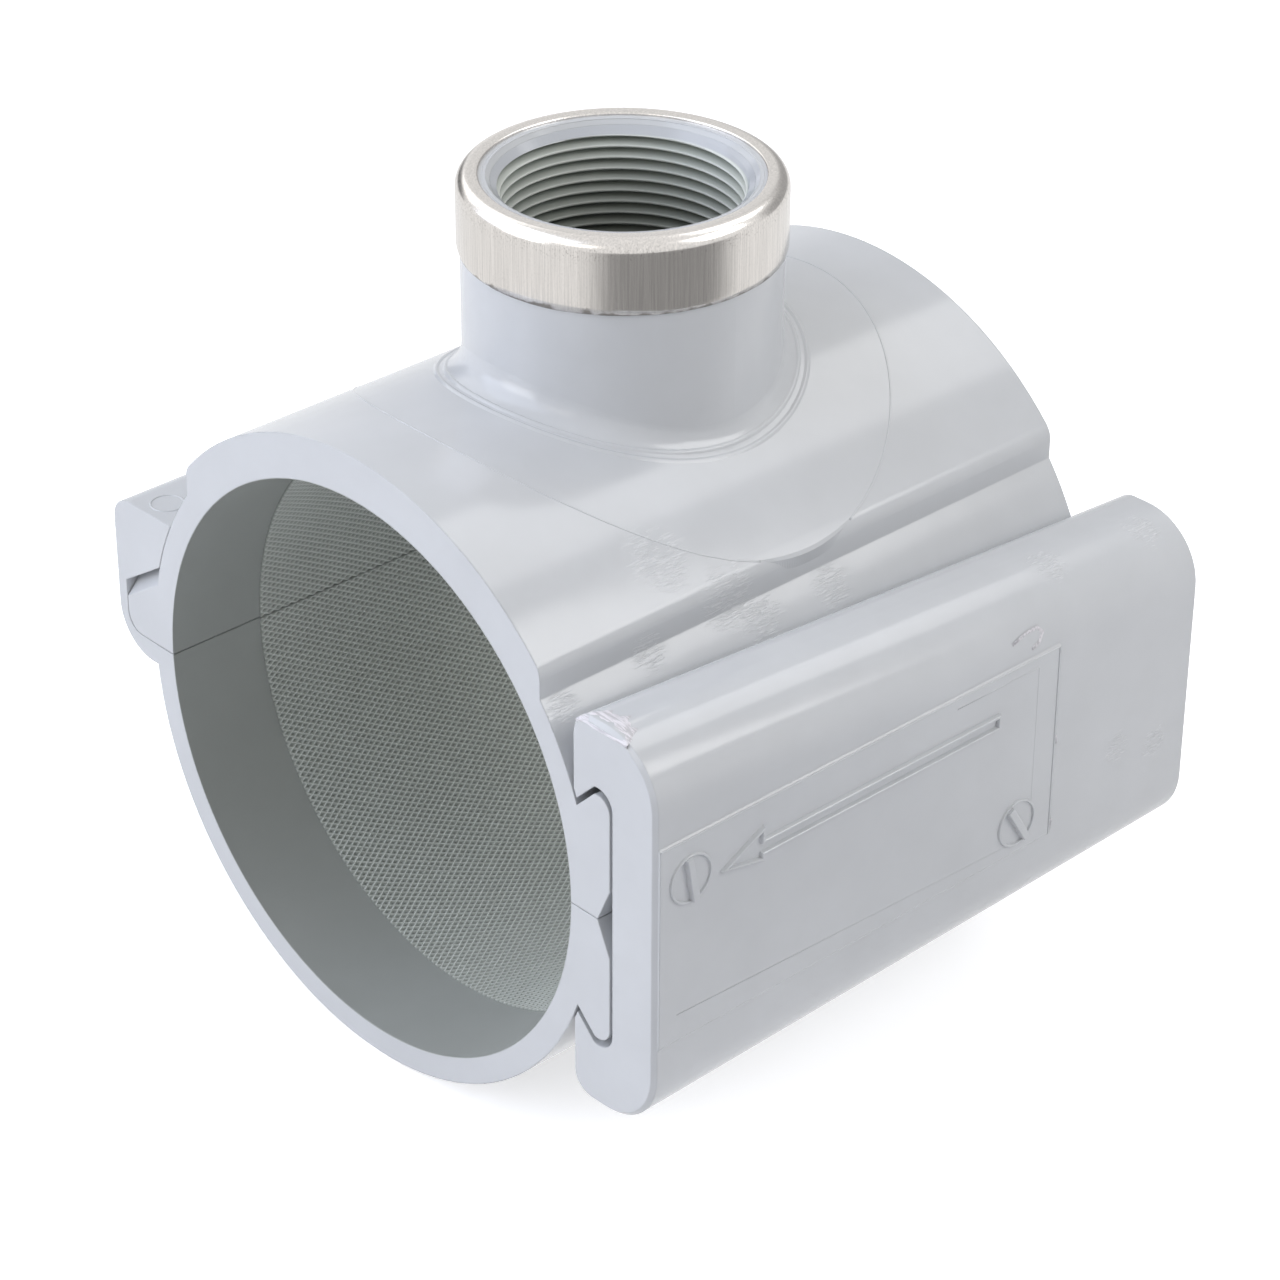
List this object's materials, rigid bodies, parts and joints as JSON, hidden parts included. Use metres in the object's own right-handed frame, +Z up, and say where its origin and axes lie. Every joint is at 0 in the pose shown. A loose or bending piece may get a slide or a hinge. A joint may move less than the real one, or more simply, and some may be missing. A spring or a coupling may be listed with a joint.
{
  "type": "tapping saddle",
  "caption": "Two-piece plastic tapping saddle for a pressure pipe, with a threaded outlet boss in a stainless band, a hooked hinge side and a tapered wedge clip.",
  "frame": {"origin": "where the outlet's axis crosses the run bore's axis, halfway along the saddle", "axes": "+Y along the run bore, +Z up the outlet, +X towards the wedge clip"},
  "size_m": [0.1527, 0.1417, 0.1635],
  "materials": {
    "moulding": "smooth moulded grey PVC",
    "band": "turned stainless steel",
    "seal": "moulded black rubber"
  },
  "bodies": {
    "saddle": {"upper_saddle": "moulding", "lower_saddle": "moulding", "outlet_band": "band", "outlet_seal": "seal"},
    "wedge": {"wedge_clip": "moulding"}
  },
  "joints": [
    {"name": "wedge_slide", "type": "slide", "parent": "saddle", "child": "wedge", "axis": [0, 1, 0], "range_m": [0, 0.13]}
  ]
}
